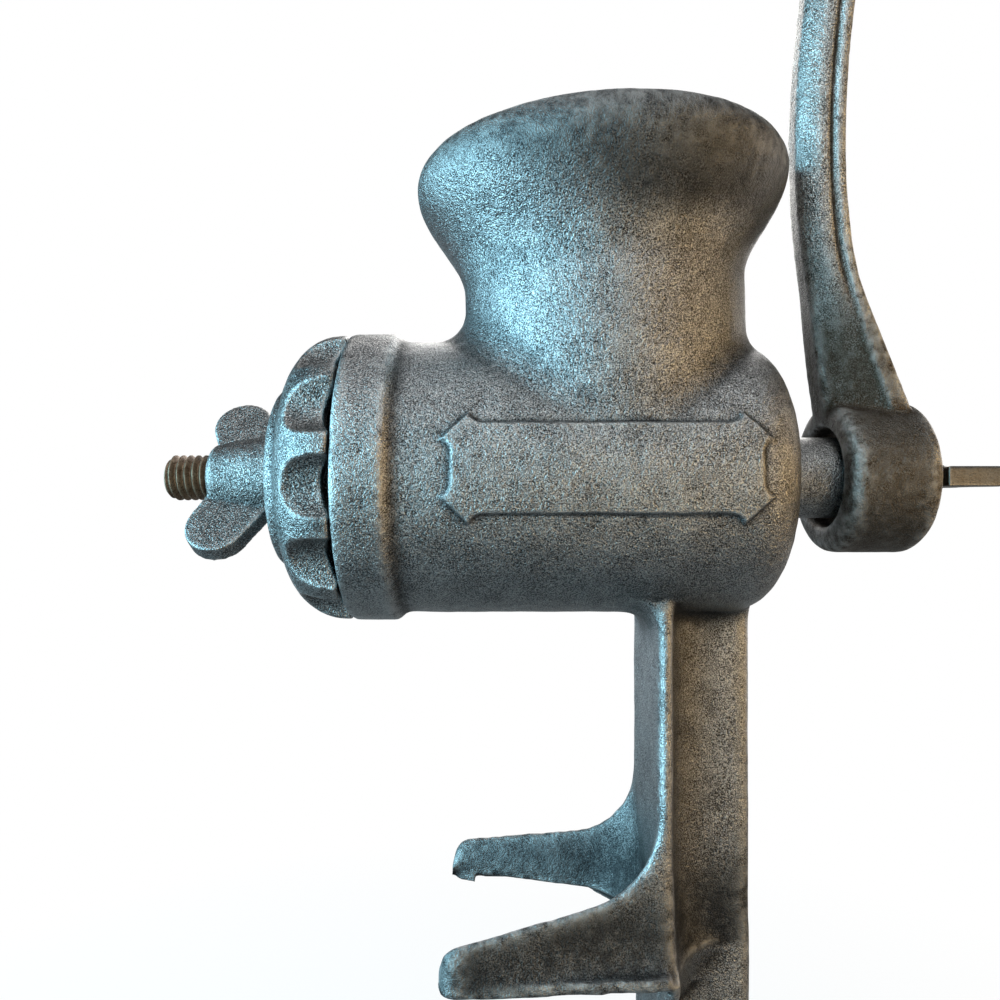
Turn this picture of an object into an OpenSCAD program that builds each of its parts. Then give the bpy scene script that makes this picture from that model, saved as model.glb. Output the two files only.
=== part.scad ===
// Hand-cranked meat grinder that clamps to the edge of a table.
// Millimetres, +Z up. The origin lies on the table seat, on the clamp screw's axis.
// The barrel runs along X, with the cutter at its -X end and the crank at its +X end.

/* [Barrel] */
// Height of the barrel's axis above the table
axis_height = 95; // [90:1:105]
// Outer diameter of the barrel
barrel_od = 56; // [54:0.5:58]
// Wall of the barrel and of the hopper
wall = 4; // [3.5:0.25:4.5]
// Length of the barrel from the collar's face to the rear face
barrel_length = 85.3; // [84:0.1:92]
// Distance of the collar's face in front of the clamp screw
collar_reach = 33.8; // [31:0.1:36]
// Width of the collar round the barrel's mouth
collar_width = 9.5; // [8:0.1:11]

/* [Hopper] */
// Distance from the collar's face back to the hopper's axis
hopper_setback = 51.3; // [49:0.1:52]
// Length of the hopper's neck along the barrel
neck_length = 57.8; // [54:0.1:59]
// Length of the hopper's mouth along the barrel
mouth_length = 76.2; // [72:0.1:78]
// Height of the hopper's rim above the barrel's axis
hopper_height = 65; // [62:0.5:70]
// Width of the hopper across the barrel as a share of its length
hopper_oval = 0.915; // [0.87:0.005:0.925]
// Lean of the hopper, in degrees, with its rim higher towards the crank
hopper_lean = 2; // [0:0.5:3]

/* [Leg and feet] */
// Distance of the leg's front face behind the clamp screw
leg_reach = 26.5; // [24:0.1:29]
// Width of the leg's front flange
leg_width = 30.6; // [28:0.1:34]
// Depth of the leg from its front face to its back edge
leg_depth = 21.5; // [19:0.1:24]
// Thickness of the leg's web
web_thickness = 8; // [7:0.5:10]
// Distance of the toes in front of the clamp screw
toe_reach = 15.4; // [12:0.2:17]
// Width across the two toes
toe_span = 48.8; // [44:0.2:52]
// Thickness of the feet's walls
foot_wall = 4.6; // [4:0.1:6]
// Height of the toes above the table
toe_height = 9.8; // [8:0.2:11]

/* [Table clamp] */
// Distance from the table seat down to the lower jaw
jaw_depth = 54; // [50:1:60]
// Gap between the table seat and the clamp pad
table_gap = 30; // [26:1:32]
// Diameter of the clamp screw
clamp_screw_d = 12.7; // [11:0.1:14]
// Length of the clamp screw's thread
clamp_screw_length = 76; // [72:1:84]
// Diameter of the clamp pad
pad_d = 28; // [25:0.5:32]
// Width across the clamp screw's wings
clamp_wing_span = 52; // [46:1:60]

/* [Feed screw] */
// Diameter of the feed screw's rear journal
journal_d = 17; // [16.4:0.1:18]
// Side of the square tail that carries the crank
tail_square = 11.4; // [10.6:0.1:11.5]
// Side of the square drive that turns the cutter
drive_square = 13; // [12:0.1:13.6]
// Turns of the feed flight
flight_turns = 3; // [2.5:0.25:3.5]

/* [Cutter] */
// Distance of the cutter's front face in front of the collar
cutter_depth = 14.7; // [14:0.1:17]
// Number of cutter ribs
rib_count = 12; // [10:1:14]
// Diameter of the front stud
stud_d = 9.525; // [9:0.1:10]
// Distance of the stud's tip in front of the cutter's front face
stud_reach = 24.9; // [23:0.1:29]
// Width across the wing nut's wings
nut_span = 39; // [36:0.5:43]
// Length of the wing nut
nut_length = 15.5; // [14:0.1:18]

/* [Crank] */
// Distance from the feed screw's axis to the grip's axis
crank_radius = 150; // [130:1:165]
// Diameter of the crank's boss
boss_d = 31.4; // [30:0.2:34]
// Length of the crank's boss
boss_length = 18; // [16:0.5:21]
// Gap between the barrel's rear face and the crank's boss
boss_gap = 12; // [11:0.2:14]
// Thickness of the crank's arm along X
arm_thickness = 9.2; // [8:0.2:11]
// Width of the crank's arm at the grip end
arm_width = 12.4; // [11:0.2:14]

/* [Grip] */
// Length of the wooden grip
grip_length = 82; // [70:1:95]
// Largest diameter of the wooden grip
grip_d = 27; // [24:0.5:30]
// Diameter of the grip's spindle
spindle_d = 8; // [7:0.2:9]

/* [Fits] */
// Radial clearance of shafts and threads that turn
running_fit = 0.05; // [0.03:0.01:0.08]
// Clearance on each side of a square that slides
square_fit = 0.15; // [0.1:0.01:0.25]
// Gap left between faces that pass each other
face_gap = 0.3; // [0.3:0.05:0.4]

/* [Hidden] */
$fn = 128;

tinned_iron = [0.60, 0.61, 0.64];
bright_steel = [0.70, 0.70, 0.71];
rusted_steel = [0.45, 0.36, 0.30];
turned_wood = [0.60, 0.38, 0.20];

// Barrel and hopper
barrel_r = barrel_od / 2;
bore_r = barrel_r - wall;
collar_rise = 1.6;
collar_break = 0.4;
collar_cove = 2.4;
collar_r = barrel_r + collar_rise;
edge_break = 0.8;
front_x = -collar_reach;
rear_x = front_x + barrel_length;
rear_round = 9;
rear_round_x = rear_x - rear_round;
rear_wall = 8.5;
rear_wall_x = rear_x - rear_wall;
rear_pad_r = 12;
rear_pad_rise = 1.2;
rear_pad_break = 0.6;
rear_cone = 0.4;
rear_pad_x = rear_x + rear_pad_rise;
hopper_x = front_x + hopper_setback;
neck_r = neck_length / 2;
mouth_r = mouth_length / 2;
lip_height = 5;
lip_thickness = 4.2;
flare_height = 20.5;
flare_top = hopper_height - lip_height;
lean_z = flare_top - flare_height;
lip_slope = 1.4;
mouth_inner_r = mouth_r - lip_thickness - lip_slope;
throat_r = neck_r - wall;

// Leg, feet and clamp back
flange_thickness = 3;
leg_edge = 1.5;
web_edge = 2.5;
leg_fillet_size = 6;
skin_sink = 0.3;
clamp_width = 24;
jaw_round = 8;
foot_blend = 16;
foot_slope = 11.3;
foot_rise = 4.4;
toe_round = 4.5;
toe_corner = 3.5;
crotch_x = 10;
crotch_length = 14;
base_flare = 6;
seat_rim = 2.4;
seat_relief = 2;
toe_pad = 4.5;
foot_lip = 0.4;
foot_edge = 0.6;
foot_crown = 1.4;
valley_x = 15;
ankle_drop = 14;
ankle_sink = 0.4;
ankle_tuck = 4;
web_fillet_size = 6;
web_fillet_reach = 3.2;
jaw_boss_r = 13.5;
jaw_boss_rise = 2.5;

// Table clamp
clamp_screw_r = clamp_screw_d / 2;
pad_r = pad_d / 2;
pad_thickness = 4;
ball_r = 4.6;
ball_play = 0.2;
ball_drop = 3.4;
socket_wall = 4;
socket_lip = 2.2;
ball_z = -table_gap - pad_thickness - ball_drop;
socket_bottom = ball_z - socket_lip;
neck_top_r = 3.2;
neck_gap = 3;
thread_top = socket_bottom - neck_gap;
thread_bottom = thread_top - clamp_screw_length;
thread_point = 2;
clamp_hub_length = 16;
clamp_hub_wall = 3;
clamp_hub_foot_r = 8;
clamp_hub_floor = 3;
clamp_wing_thickness = 5;
clamp_lobe_r = 9;
clamp_lobe_drop = 4;

// Feed screw
journal_r = journal_d / 2;
washer_thickness = 1.5;
washer_rim = 6;
shoulder_x = rear_wall_x - washer_thickness - 2 * running_fit;
recess_depth = 3.5;
tail_set = 2;
worm_set = 2;
journal_end = rear_x + boss_gap + recess_depth;
tail_end = rear_x + boss_gap + boss_length - tail_set;
worm_front = front_x + worm_set;
core_front_r = 13;
core_rear_r = 10;
flight_play = 0.7;
flight_r = bore_r - flight_play;
flight_steps = 30;
drive_cover = 5.5;
drive_end = front_x - cutter_depth + drive_cover;
stud_r = stud_d / 2;
stud_depth = 18;
cutter_front = front_x - cutter_depth;
stud_tip = cutter_front - stud_reach;

// Cutter and wing nut
cutter_back = front_x - face_gap;
cutter_set = 0.2;
cutter_r = collar_r - cutter_set;
cutter_round = 10.9;
cutter_face_r = 18.8;
cutter_step = 2.4;
cutter_hub_r = 11.5;
cutter_web = 4;
cutter_skin = 3;
scoop_r = 7;
scoop_set = 7.5;
rib_height = 3.6;
scoop_floor_r = cutter_r - rib_height;
slot_r = 8.2;
slot_depth = 1.7;
first_rib = 10.5;
nut_front = cutter_front - nut_length;
nut_base_r = 9.2;
nut_front_r = 7;
nut_turn = 53;
nut_wing_thickness = 4;
nut_wing_round = 6.2;
nut_wing_set = 3.6;

// Crank and grip
boss_r = boss_d / 2;
boss_front = rear_x + boss_gap;
boss_back = boss_front + boss_length;
boss_round = 2.5;
recess_gap = 1.4;
recess_taper = 0.8;
recess_floor_r = journal_r + recess_gap;
recess_r = recess_floor_r + recess_taper;
lip_clearance = 1;
bow_x = hopper_x + mouth_r + lip_clearance + arm_thickness / 2;
arm_lean = 3;
arm_rise_share = 0.576;
arm_bow_share = 0.833;
arm_finish_share = 1.53;
arm_bow_rise = (arm_finish_share - arm_bow_share) * hopper_height;
eye_r = 10;
eye_thickness = 12;
arm_tuck = 2.4;
arm_kick = 3.6;
arm_root = 3.6;
arm_spread = 3.5;
arm_slope = (arm_lean + arm_tuck) / arm_bow_rise;
eye_x = bow_x + arm_lean + arm_slope * (crank_radius - arm_finish_share * hopper_height);
eye_front = eye_x - eye_thickness / 2;
eye_back = eye_x + eye_thickness / 2;
crank_screw_r = 4;
crank_head_r = 9;
crank_head_thickness = 3;
crank_wing = [16, 24, 4];
crank_wing_round = 5;
spindle_r = spindle_d / 2;
spindle_head_rise = 2.5;
spindle_head_r = spindle_r + spindle_head_rise;
spindle_head = 1.6;
grip_washer = 1.5;
grip_washer_r = 9;
grip_r = grip_d / 2;
grip_swell = 4;
grip_waist_r = grip_r - grip_swell;
grip_steps = 20;
grip_skew = 1.45;
grip_break = 0.7;
grip_round = 2.5;
grip_start = eye_back + grip_washer + 2 * running_fit + face_gap;
grip_end = grip_start + grip_length;
spindle_end = grip_end + face_gap + grip_washer + running_fit;

// Points along an arc
function arc(centre, r, from, to, steps = 8) = [
    for (i = [0 : steps])
        let (a = from + (to - from) * i / steps)
        centre + r * [cos(a), sin(a)]
];

// Point on a quadratic curve with one control point
function quadratic(a, b, c, t) = (1 - t) * (1 - t) * a + 2 * t * (1 - t) * b + t * t * c;

// Point on a cubic curve with two control points
function cubic(a, b, c, d, t) =
    pow(1 - t, 3) * a + 3 * t * pow(1 - t, 2) * b + 3 * t * t * (1 - t) * c + pow(t, 3) * d;

function ease(t) = t * t * (3 - 2 * t);

function mix(a, b, t) = a + (b - a) * t;

function flipped(points) = [for (i = [len(points) - 1 : -1 : 0]) [points[i].x, -points[i].y]];

// Outer radius of the barrel at a place along X
function barrel_r_at(x) =
    x < rear_round_x ? barrel_r :
    barrel_r - rear_round + sqrt(max(0, pow(rear_round, 2) - pow(x - rear_round_x, 2)));

// Height of the barrel's upper surface above its axis
function barrel_top(x, y) = sqrt(max(1, pow(barrel_r_at(x), 2) - y * y));

// Solid through a row of rings with equal counts of points, each anticlockwise seen from the far end
module skin(rings, closed = false) {
    count = len(rings);
    size = len(rings[0]);
    sides = [
        for (i = [0 : closed ? count - 1 : count - 2])
            for (j = [0 : size - 1])
                let (next = (i + 1) % count, k = (j + 1) % size)
                each [
                    [i * size + j, next * size + k, i * size + k],
                    [i * size + j, next * size + j, next * size + k]
                ]
    ];
    caps = closed ? [] : [
        [for (j = [0 : size - 1]) j],
        [for (j = [size - 1 : -1 : 0]) (count - 1) * size + j]
    ];
    polyhedron([for (ring = rings) each ring], concat(sides, caps), convexity = 10);
}

// Turns a form on the Z axis so that it runs along X
module along_x(x = 0) {
    translate([x, 0, 0]) rotate([0, 90, 0]) children();
}

// Square bar along X between two places
module square_bar(side, from, to) {
    translate([from, -side / 2, -side / 2]) cube([to - from, side, side]);
}

// Round bar along X between two places
module round_bar(r, from, to) {
    along_x(from) cylinder(r = r, h = to - from);
}

module at_axis() {
    translate([0, 0, axis_height]) children();
}

module at_grip() {
    translate([0, 0, axis_height + crank_radius]) children();
}

// Barrel as a turned form, solid
module barrel_form() {
    collar_end = front_x + collar_width;
    cove_turn = acos(1 - (collar_rise - collar_break) / collar_cove);
    cove_x = collar_end + collar_cove * sin(cove_turn);
    profile = concat(
        [[0, front_x], [collar_r - collar_break, front_x], [collar_r, front_x + collar_break]],
        [[collar_r, collar_end - collar_break]],
        arc([barrel_r + collar_cove, cove_x], collar_cove, 180 + cove_turn, 180, 6),
        arc([barrel_r - rear_round, rear_round_x], rear_round, 0, 70, 9),
        [[rear_pad_r + rear_pad_break, rear_x + rear_cone], [rear_pad_r, rear_pad_x], [0, rear_pad_x]]
    );
    along_x() rotate_extrude() polygon(profile);
}

// Makes a turned form oval and leans it, so that its rim rises towards the crank
module leaning_oval() {
    translate([0, 0, lean_z])
        rotate([0, -hopper_lean, 0])
            translate([0, 0, -lean_z])
                scale([1, hopper_oval, 1])
                    children();
}

// Hopper's outer form: a straight neck, a flare and a rounded lip
module hopper_form() {
    flare = [
        for (i = [0 : 10])
            [mix(neck_r, mouth_r, ease(i / 10)), flare_top - flare_height * (1 - i / 10)]
    ];
    lip = [
        for (i = [1 : 7])
            let (a = i * 90 / 7)
            [mouth_r - lip_thickness * (1 - cos(a)), flare_top + lip_height * sin(a)]
    ];
    leaning_oval()
        rotate_extrude()
            polygon(concat([[0, 0], [neck_r, 0]], flare, lip, [[0, hopper_height]]));
}

// Space inside the hopper, down into the barrel's bore
module hopper_space() {
    funnel_set = 2;
    inner_break = 0.6;
    over = 0.1;
    funnel_bottom = flare_top - flare_height - funnel_set;
    funnel_top = hopper_height - funnel_set;
    funnel = [
        for (i = [0 : 8])
            [mix(throat_r, mouth_inner_r, ease(i / 8)), mix(funnel_bottom, funnel_top, i / 8)]
    ];
    lip_top = [
        [mouth_inner_r + inner_break, hopper_height - inner_break],
        [mouth_inner_r + funnel_set, hopper_height + over]
    ];
    leaning_oval()
        rotate_extrude()
            polygon(concat([[0, 0], [throat_r, 0]], funnel, lip_top, [[0, hopper_height + over]]));
}

// Shift of the leaning neck along X at a height above the barrel's axis
function neck_shift(z) = (lean_z - z) * tan(hopper_lean);

// Fillet all round the hopper's neck where it meets the barrel
module neck_fillet() {
    inset = 2.5;
    steps = 60;
    side_spread = 1;
    front_spread = 8;
    rear_spread = 3.5;
    side_rise = 8;
    rear_rise = 4;
    function ring(a) =
        let (
            c = cos(a),
            s = sin(a),
            normal = [c / neck_r, s / (neck_r * hopper_oval)],
            outward = normal / norm(normal),
            upright = [hopper_x + neck_r * c, neck_r * hopper_oval * s],
            foot = upright + [neck_shift(barrel_top(upright.x, upright.y)), 0],
            spread = mix(side_spread, c < 0 ? front_spread : rear_spread, c * c),
            rise = mix(side_rise, c < 0 ? side_rise : rear_rise, c * c),
            corner_z = barrel_top(foot.x, foot.y),
            out = foot + spread * outward,
            top_x = upright.x + neck_shift(corner_z + rise),
            top = [top_x - skin_sink * outward.x, foot.y - skin_sink * outward.y, corner_z + rise],
            corner = [foot.x, foot.y, corner_z],
            end = [out.x, out.y, barrel_top(out.x, out.y) - skin_sink],
            inside = [foot.x - inset * outward.x, foot.y - inset * outward.y, corner_z - inset]
        )
        concat([for (i = [0 : 6]) quadratic(top, corner, end, i / 6)], [inside]);
    skin([for (i = [0 : steps - 1]) ring(i * 360 / steps)], closed = true);
}

// T-shaped section: a flange with a web behind it, its front face on x = 0
function t_section(width, depth) =
    let (
        half = width / 2,
        web = web_thickness / 2,
        fillet = half - web - leg_edge,
        side = concat(
            arc([leg_edge, half - leg_edge], leg_edge, 180, 0, 6),
            arc([flange_thickness + fillet, web + fillet], fillet, 186, 270, 7),
            arc([depth - web_edge, web - web_edge], web_edge, 90, 0, 4)
        )
    )
    concat(side, flipped(side));

// Upright leg between the barrel and the table
module leg() {
    bottom = -8;
    sink = 4;
    translate([leg_reach, 0, bottom])
        linear_extrude(height = axis_height - bore_r + sink - bottom)
            polygon(t_section(leg_width, leg_depth));
}

// Fillet between the leg's front face and the barrel
module leg_fillet() {
    inset = 2;
    steps = 12;
    half = leg_width / 2 - leg_edge / 3;
    function ring(y) =
        let (
            z = axis_height - barrel_top(leg_reach, y),
            low = [leg_reach + skin_sink, y, z - leg_fillet_size],
            corner = [leg_reach, y, z],
            end = [leg_reach - leg_fillet_size, y, z + skin_sink],
            inside = [leg_reach + inset, y, z + inset]
        )
        concat([for (i = [0 : 6]) quadratic(low, corner, end, i / 6)], [inside]);
    skin([for (i = [0 : steps]) ring(mix(-half, half, i / steps))]);
}

// Fillet between the web's back edge and the barrel, rounded off towards the web's sides
module web_fillet() {
    inset = 2;
    steps = 8;
    end_share = 0.25;
    half = web_thickness / 2 - foot_edge;
    back = leg_reach + leg_depth - skin_sink;
    end_x = back + web_fillet_reach;
    function ring(t) =
        let (
            y = half * cos(180 * t),
            share = mix(end_share, 1, sin(180 * t)),
            z = axis_height - barrel_top(back, y),
            low = [back, y, z - web_fillet_size],
            corner = [back, y, z],
            end = [end_x, y, axis_height - barrel_top(end_x, y) + skin_sink],
            inside = [back - inset, y, z + inset]
        )
        concat([for (i = [0 : 6]) mix(inside, quadratic(low, corner, end, i / 6), share)], [inside]);
    skin([for (i = [0 : steps]) ring(i / steps)]);
}

// Amount that a round corner at the toe's end takes off the foot's width
function toe_trim(x) =
    toe_corner - sqrt(pow(toe_corner, 2) - pow(max(0, toe_corner - x - toe_reach), 2));

// Distance of the foot's outer face from the middle
function foot_outer(x) = mix(toe_span / 2, leg_width / 2, (x + toe_reach) / (leg_reach + toe_reach));

// Distance of the foot's outer edge from the middle, along the table
function foot_base(x) = foot_outer(x) + base_flare * (x + toe_reach) / (leg_reach + toe_reach);

// Share of the foot's inner face that is left on the way into the round valley between the feet
function valley(x, from, to) = x < from ? 1 : sqrt(max(0, 1 - pow((x - from) / (to - from), 2)));

// Distance of the foot's inner face from the middle, along the table
function foot_inner(x) =
    x < crotch_x ? foot_outer(x) - foot_wall :
    (foot_outer(crotch_x) - foot_wall) * valley(x, crotch_x, crotch_x + crotch_length) - 1;

// Point on the foot's outer flank, from its top edge down to the table
function foot_flank(x, top, t) =
    let (
        outer = foot_outer(x),
        edge = [outer - foot_edge, top - foot_edge],
        bend = [outer + foot_edge, foot_lip]
    )
    quadratic(edge, bend, [foot_base(x), foot_lip], t);

// One of the two splayed feet, a wall whose top edge runs up into the leg's front face
module foot() {
    toe_x = -toe_reach;
    blend = [leg_reach - foot_blend, toe_height + foot_rise + foot_blend * cos(foot_slope)];
    top_edge = concat(
        arc([toe_x + toe_round, toe_height - toe_round], toe_round, 180, 90 + foot_slope, 5),
        arc(blend, foot_blend, foot_slope - 90, 0, 12),
        [[leg_reach + flange_thickness, blend.y]]
    );
    toe_crest = 0.85;
    heel_crest = 0.45;
    crest_run = 24;
    shoulder_drop = 0.7;
    function ring(x, z) =
        let (
            trim = toe_trim(x),
            outer = foot_outer(x) - trim,
            inner = foot_inner(x) + trim / 2,
            crest = mix(toe_crest, heel_crest, min(1, (x - toe_x) / crest_run)),
            top = crest * foot_wall - trim / 2,
            drop = min(shoulder_drop * top, (z - seat_relief) / 2),
            shoulder = [outer - top, z - drop],
            face = (foot_outer(x) - foot_wall + 1) * valley(x, valley_x, leg_reach + 1) - 1,
            middle = min(shoulder.x - skin_sink, face),
            depth = shoulder.y - seat_relief,
            flank = [for (i = [4 : -1 : 0]) foot_flank(x, z, i / 4) - [trim, 0]],
            side = [
                [outer - foot_crown, z],
                shoulder,
                [mix(shoulder.x, middle, 0.55), shoulder.y - 0.3 * depth],
                [middle, shoulder.y - 0.6 * depth],
                [mix(middle, inner, 0.5), shoulder.y - 0.85 * depth],
                [inner, seat_relief]
            ]
        )
        [for (place = concat(flank, side)) [x, place.x, place.y]];
    skin([for (place = top_edge) ring(place.x, place.y)]);
}

// Rim under the feet that stands on the table: both toes, both outer edges and the heel
module seat_rim_plate() {
    toe_x = 1 - toe_reach;
    pad_end = toe_x + toe_pad;
    crotch_end = crotch_x + crotch_length;
    side = [
        [leg_reach + 1, foot_base(leg_reach)],
        [toe_x + 2, foot_base(toe_x) - 0.8],
        [toe_x, foot_base(toe_x) - 2],
        [toe_x, foot_inner(toe_x) + 1.2],
        [toe_x + 1.2, foot_inner(toe_x)],
        [pad_end, foot_inner(pad_end)],
        [pad_end, foot_base(pad_end) - seat_rim],
        [crotch_x + 4, foot_base(crotch_x + 4) - seat_rim],
        [crotch_end, 6]
    ];
    linear_extrude(height = seat_relief + skin_sink) polygon(concat(side, flipped(side)));
}

// Section of the ankle: flank of the foot, then a hollow sweep back to the web
function ankle_section(half, sweep, z) =
    let (
        web = web_thickness / 2 - skin_sink,
        side = concat(
            [[skin_sink, half - leg_edge], [flange_thickness / 2, half]],
            [
                for (i = [0 : 8])
                    let (a = 183 + 87 * i / 8)
                    [flange_thickness + sweep * (1 + cos(a)), web + (half - web) * (1 + sin(a))]
            ],
            [[leg_depth - web_edge, web]]
        )
    )
    [for (place = concat(side, flipped(side))) [leg_reach + place.x, place.y, z]];

// Ankle where the leg widens into the feet and narrows again below the table's edge
module ankle() {
    steps = 10;
    top = toe_height + foot_rise + foot_blend * cos(foot_slope);
    narrow = leg_width / 2 - web_thickness / 2 - leg_edge - ankle_tuck / 2;
    low_narrow = narrow - (leg_width - clamp_width) / 2;
    wide = leg_depth - web_edge - flange_thickness - skin_sink;
    above = [
        for (i = [0 : steps])
            let (t = i / steps, place = foot_flank(leg_reach, top, t))
            ankle_section(place.x - ankle_sink, mix(narrow, wide, t * t), place.y - foot_lip / 2 * t)
    ];
    below = [
        for (i = [1 : 6])
            let (t = i / 6)
            ankle_section(
                mix(foot_base(leg_reach), clamp_width / 2, ease(t)) - ankle_sink,
                mix(wide, low_narrow, t),
                -ankle_drop * t
            )
    ];
    skin(concat(
        [ankle_section(leg_width / 2 - ankle_tuck, narrow - ankle_tuck, top + 1)],
        above,
        below,
        [ankle_section(clamp_width / 2 - ankle_tuck, low_narrow - ankle_tuck / 2, -ankle_drop - 1)]
    ));
}

// C-shaped back of the clamp and its lower jaw, solid
module clamp_back() {
    section = t_section(clamp_width, leg_depth);
    turn_z = jaw_round - jaw_depth;
    translate([leg_reach, 0, turn_z]) linear_extrude(height = -turn_z) polygon(section);
    translate([leg_reach - jaw_round, 0, turn_z])
        rotate([-90, 0, 0])
            rotate_extrude(angle = 90) translate([jaw_round, 0]) polygon(section);
    translate([0, 0, -jaw_depth])
        rotate([0, 90, 0]) linear_extrude(height = leg_reach - jaw_round) polygon(section);
    translate([0, 0, -jaw_depth - leg_depth - 1])
        cylinder(r = jaw_boss_r, h = leg_depth + 1 + jaw_boss_rise);
}

module body_casting() {
    color(tinned_iron)
    difference() {
        union() {
            at_axis() {
                barrel_form();
                translate([hopper_x, 0, 0]) hopper_form();
                neck_fillet();
            }
            leg();
            leg_fillet();
            web_fillet();
            foot();
            mirror([0, 1, 0]) foot();
            seat_rim_plate();
            ankle();
            clamp_back();
        }
        at_axis() {
            translate([hopper_x, 0, 0]) hopper_space();
            round_bar(bore_r, front_x - 1, rear_wall_x);
            round_bar(journal_r + running_fit, rear_wall_x - 1, rear_pad_x + 1);
        }
        translate([0, 0, -jaw_depth - leg_depth - 2])
            cylinder(r = clamp_screw_r + running_fit, h = leg_depth + jaw_boss_rise + 3);
    }
}

// Flat ring on the X axis
module ring_on_x(outer, inner, from, thickness) {
    difference() {
        round_bar(outer, from, from + thickness);
        round_bar(inner, from - 1, from + thickness + 1);
    }
}

module thrust_washer() {
    color(bright_steel)
    at_axis()
        ring_on_x(
            journal_r + washer_rim, journal_r + running_fit, shoulder_x + running_fit, washer_thickness
        );
}

// Left-hand flight that carries the food forward
module feed_flight() {
    start_x = shoulder_x - 5;
    end_x = worm_front + 3;
    count = round(flight_turns * flight_steps);
    root = 3;
    tip = 1.7;
    ramp = 0.12;
    quickening = 0.14;
    core_sink = 1.5;
    start_rise = 2.5;
    function place(r, a, x) = [x, r * cos(a), r * sin(a)];
    function ring(t) =
        let (
            a = t * flight_turns * 360,
            x = mix(start_x, end_x, t + quickening * t * (1 - t)),
            core = mix(core_rear_r, core_front_r, t) - core_sink,
            reach = mix(core + start_rise, flight_r, ease(min(1, t / ramp, (1 - t) / ramp * 2)))
        )
        [
            place(core, a, x + root),
            place(reach, a, x + tip),
            place(reach, a, x - tip),
            place(core, a, x - root)
        ];
    skin([for (i = [0 : count]) ring(i / count)]);
}

module feed_screw() {
    color(tinned_iron)
    at_axis() difference() {
        union() {
            along_x(worm_front)
                cylinder(r1 = core_front_r, r2 = core_rear_r, h = shoulder_x - worm_front);
            feed_flight();
            round_bar(journal_r, shoulder_x - 1, journal_end);
            square_bar(tail_square, journal_end - 1, tail_end);
            square_bar(drive_square, drive_end, worm_front + 1);
        }
        round_bar(stud_r + running_fit, drive_end - 1, worm_front + stud_depth);
        round_bar(crank_screw_r + running_fit, journal_end - 4, tail_end + 1);
    }
}

module front_stud() {
    tip = 1.2;
    color(rusted_steel)
    at_axis() {
        round_bar(stud_r, stud_tip + tip, worm_front + stud_depth - 0.5);
        along_x(stud_tip) cylinder(r1 = stud_r - tip, r2 = stud_r, h = tip);
    }
}

// Cutter's outer and inner form, turned
module cutter_shell() {
    dome_front = cutter_front + cutter_step;
    outer = concat(
        [[0, cutter_front], [cutter_face_r - edge_break, cutter_front]],
        [[cutter_face_r, cutter_front + edge_break]],
        arc([cutter_r - cutter_round, dome_front + cutter_round], cutter_round, -85, 0, 9),
        [[cutter_r, cutter_back], [0, cutter_back]]
    );
    inner_round = 8;
    inner_r = scoop_floor_r - cutter_skin;
    inner_front = cutter_front + cutter_web;
    inner = concat(
        [[cutter_hub_r, inner_front]],
        arc([inner_r - inner_round, inner_front + inner_round], inner_round, -90, 0, 6),
        [[inner_r, cutter_back + 1], [cutter_hub_r, cutter_back + 1]]
    );
    along_x() rotate_extrude() difference() {
        polygon(outer);
        polygon(inner);
    }
}

// Hollow between two ribs: a round scoop, open at the back, and a slot along the collar
module cutter_scoop() {
    scoop_x = cutter_front + scoop_set;
    translate([0, 0, scoop_floor_r + scoop_r]) {
        translate([scoop_x, 0, 0]) sphere(r = scoop_r);
        round_bar(scoop_r, scoop_x, cutter_back + 1);
    }
    translate([cutter_back - slot_depth + slot_r, 0, scoop_floor_r - cutter_skin - 1])
        cylinder(r = slot_r, h = cutter_skin + 8);
}

module cutter() {
    color(tinned_iron)
    at_axis() difference() {
        cutter_shell();
        for (i = [0 : rib_count - 1])
            rotate([(i + 0.5) * 360 / rib_count - first_rib, 0, 0]) cutter_scoop();
        square_bar(drive_square + 2 * square_fit, drive_end - 0.5, cutter_back + 1);
        round_bar(stud_r + square_fit, cutter_front - 1, cutter_back);
    }
}

// One wing of the nut, in the XY plane
module nut_wing() {
    linear_extrude(height = nut_wing_thickness, center = true)
        hull() {
            translate([nut_front + nut_wing_set, nut_span / 2 - nut_wing_round])
                circle(r = nut_wing_round, $fn = 32);
            translate([nut_front + nut_length / 2, nut_front_r - 2])
                circle(r = nut_length / 2 - 1, $fn = 32);
        }
}

module wing_nut() {
    seat = cutter_front - running_fit;
    base_length = 3;
    base_break = 0.6;
    front_break = 1;
    profile = [
        [0, nut_front],
        [nut_front_r - front_break, nut_front],
        [nut_front_r, nut_front + front_break],
        [nut_base_r, seat - base_length],
        [nut_base_r, seat - base_break],
        [nut_base_r - base_break, seat],
        [0, seat]
    ];
    color(tinned_iron)
    at_axis() difference() {
        union() {
            along_x() rotate_extrude() polygon(profile);
            for (turn = [nut_turn, nut_turn + 180]) rotate([turn, 0, 0]) nut_wing();
        }
        round_bar(stud_r + running_fit, nut_front - 8, seat + 1);
    }
}

// Half of the arm's section as shares of its thickness and width: narrow towards the hopper,
// with sloped sides and a rim along the outer edge
arm_half = [
    [1, 0.84], [0.9, 0.98], [0.46, 1], [0.34, 0.92], [-0.3, 0.72], [-0.88, 0.46], [-1, 0.34]
];

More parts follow.
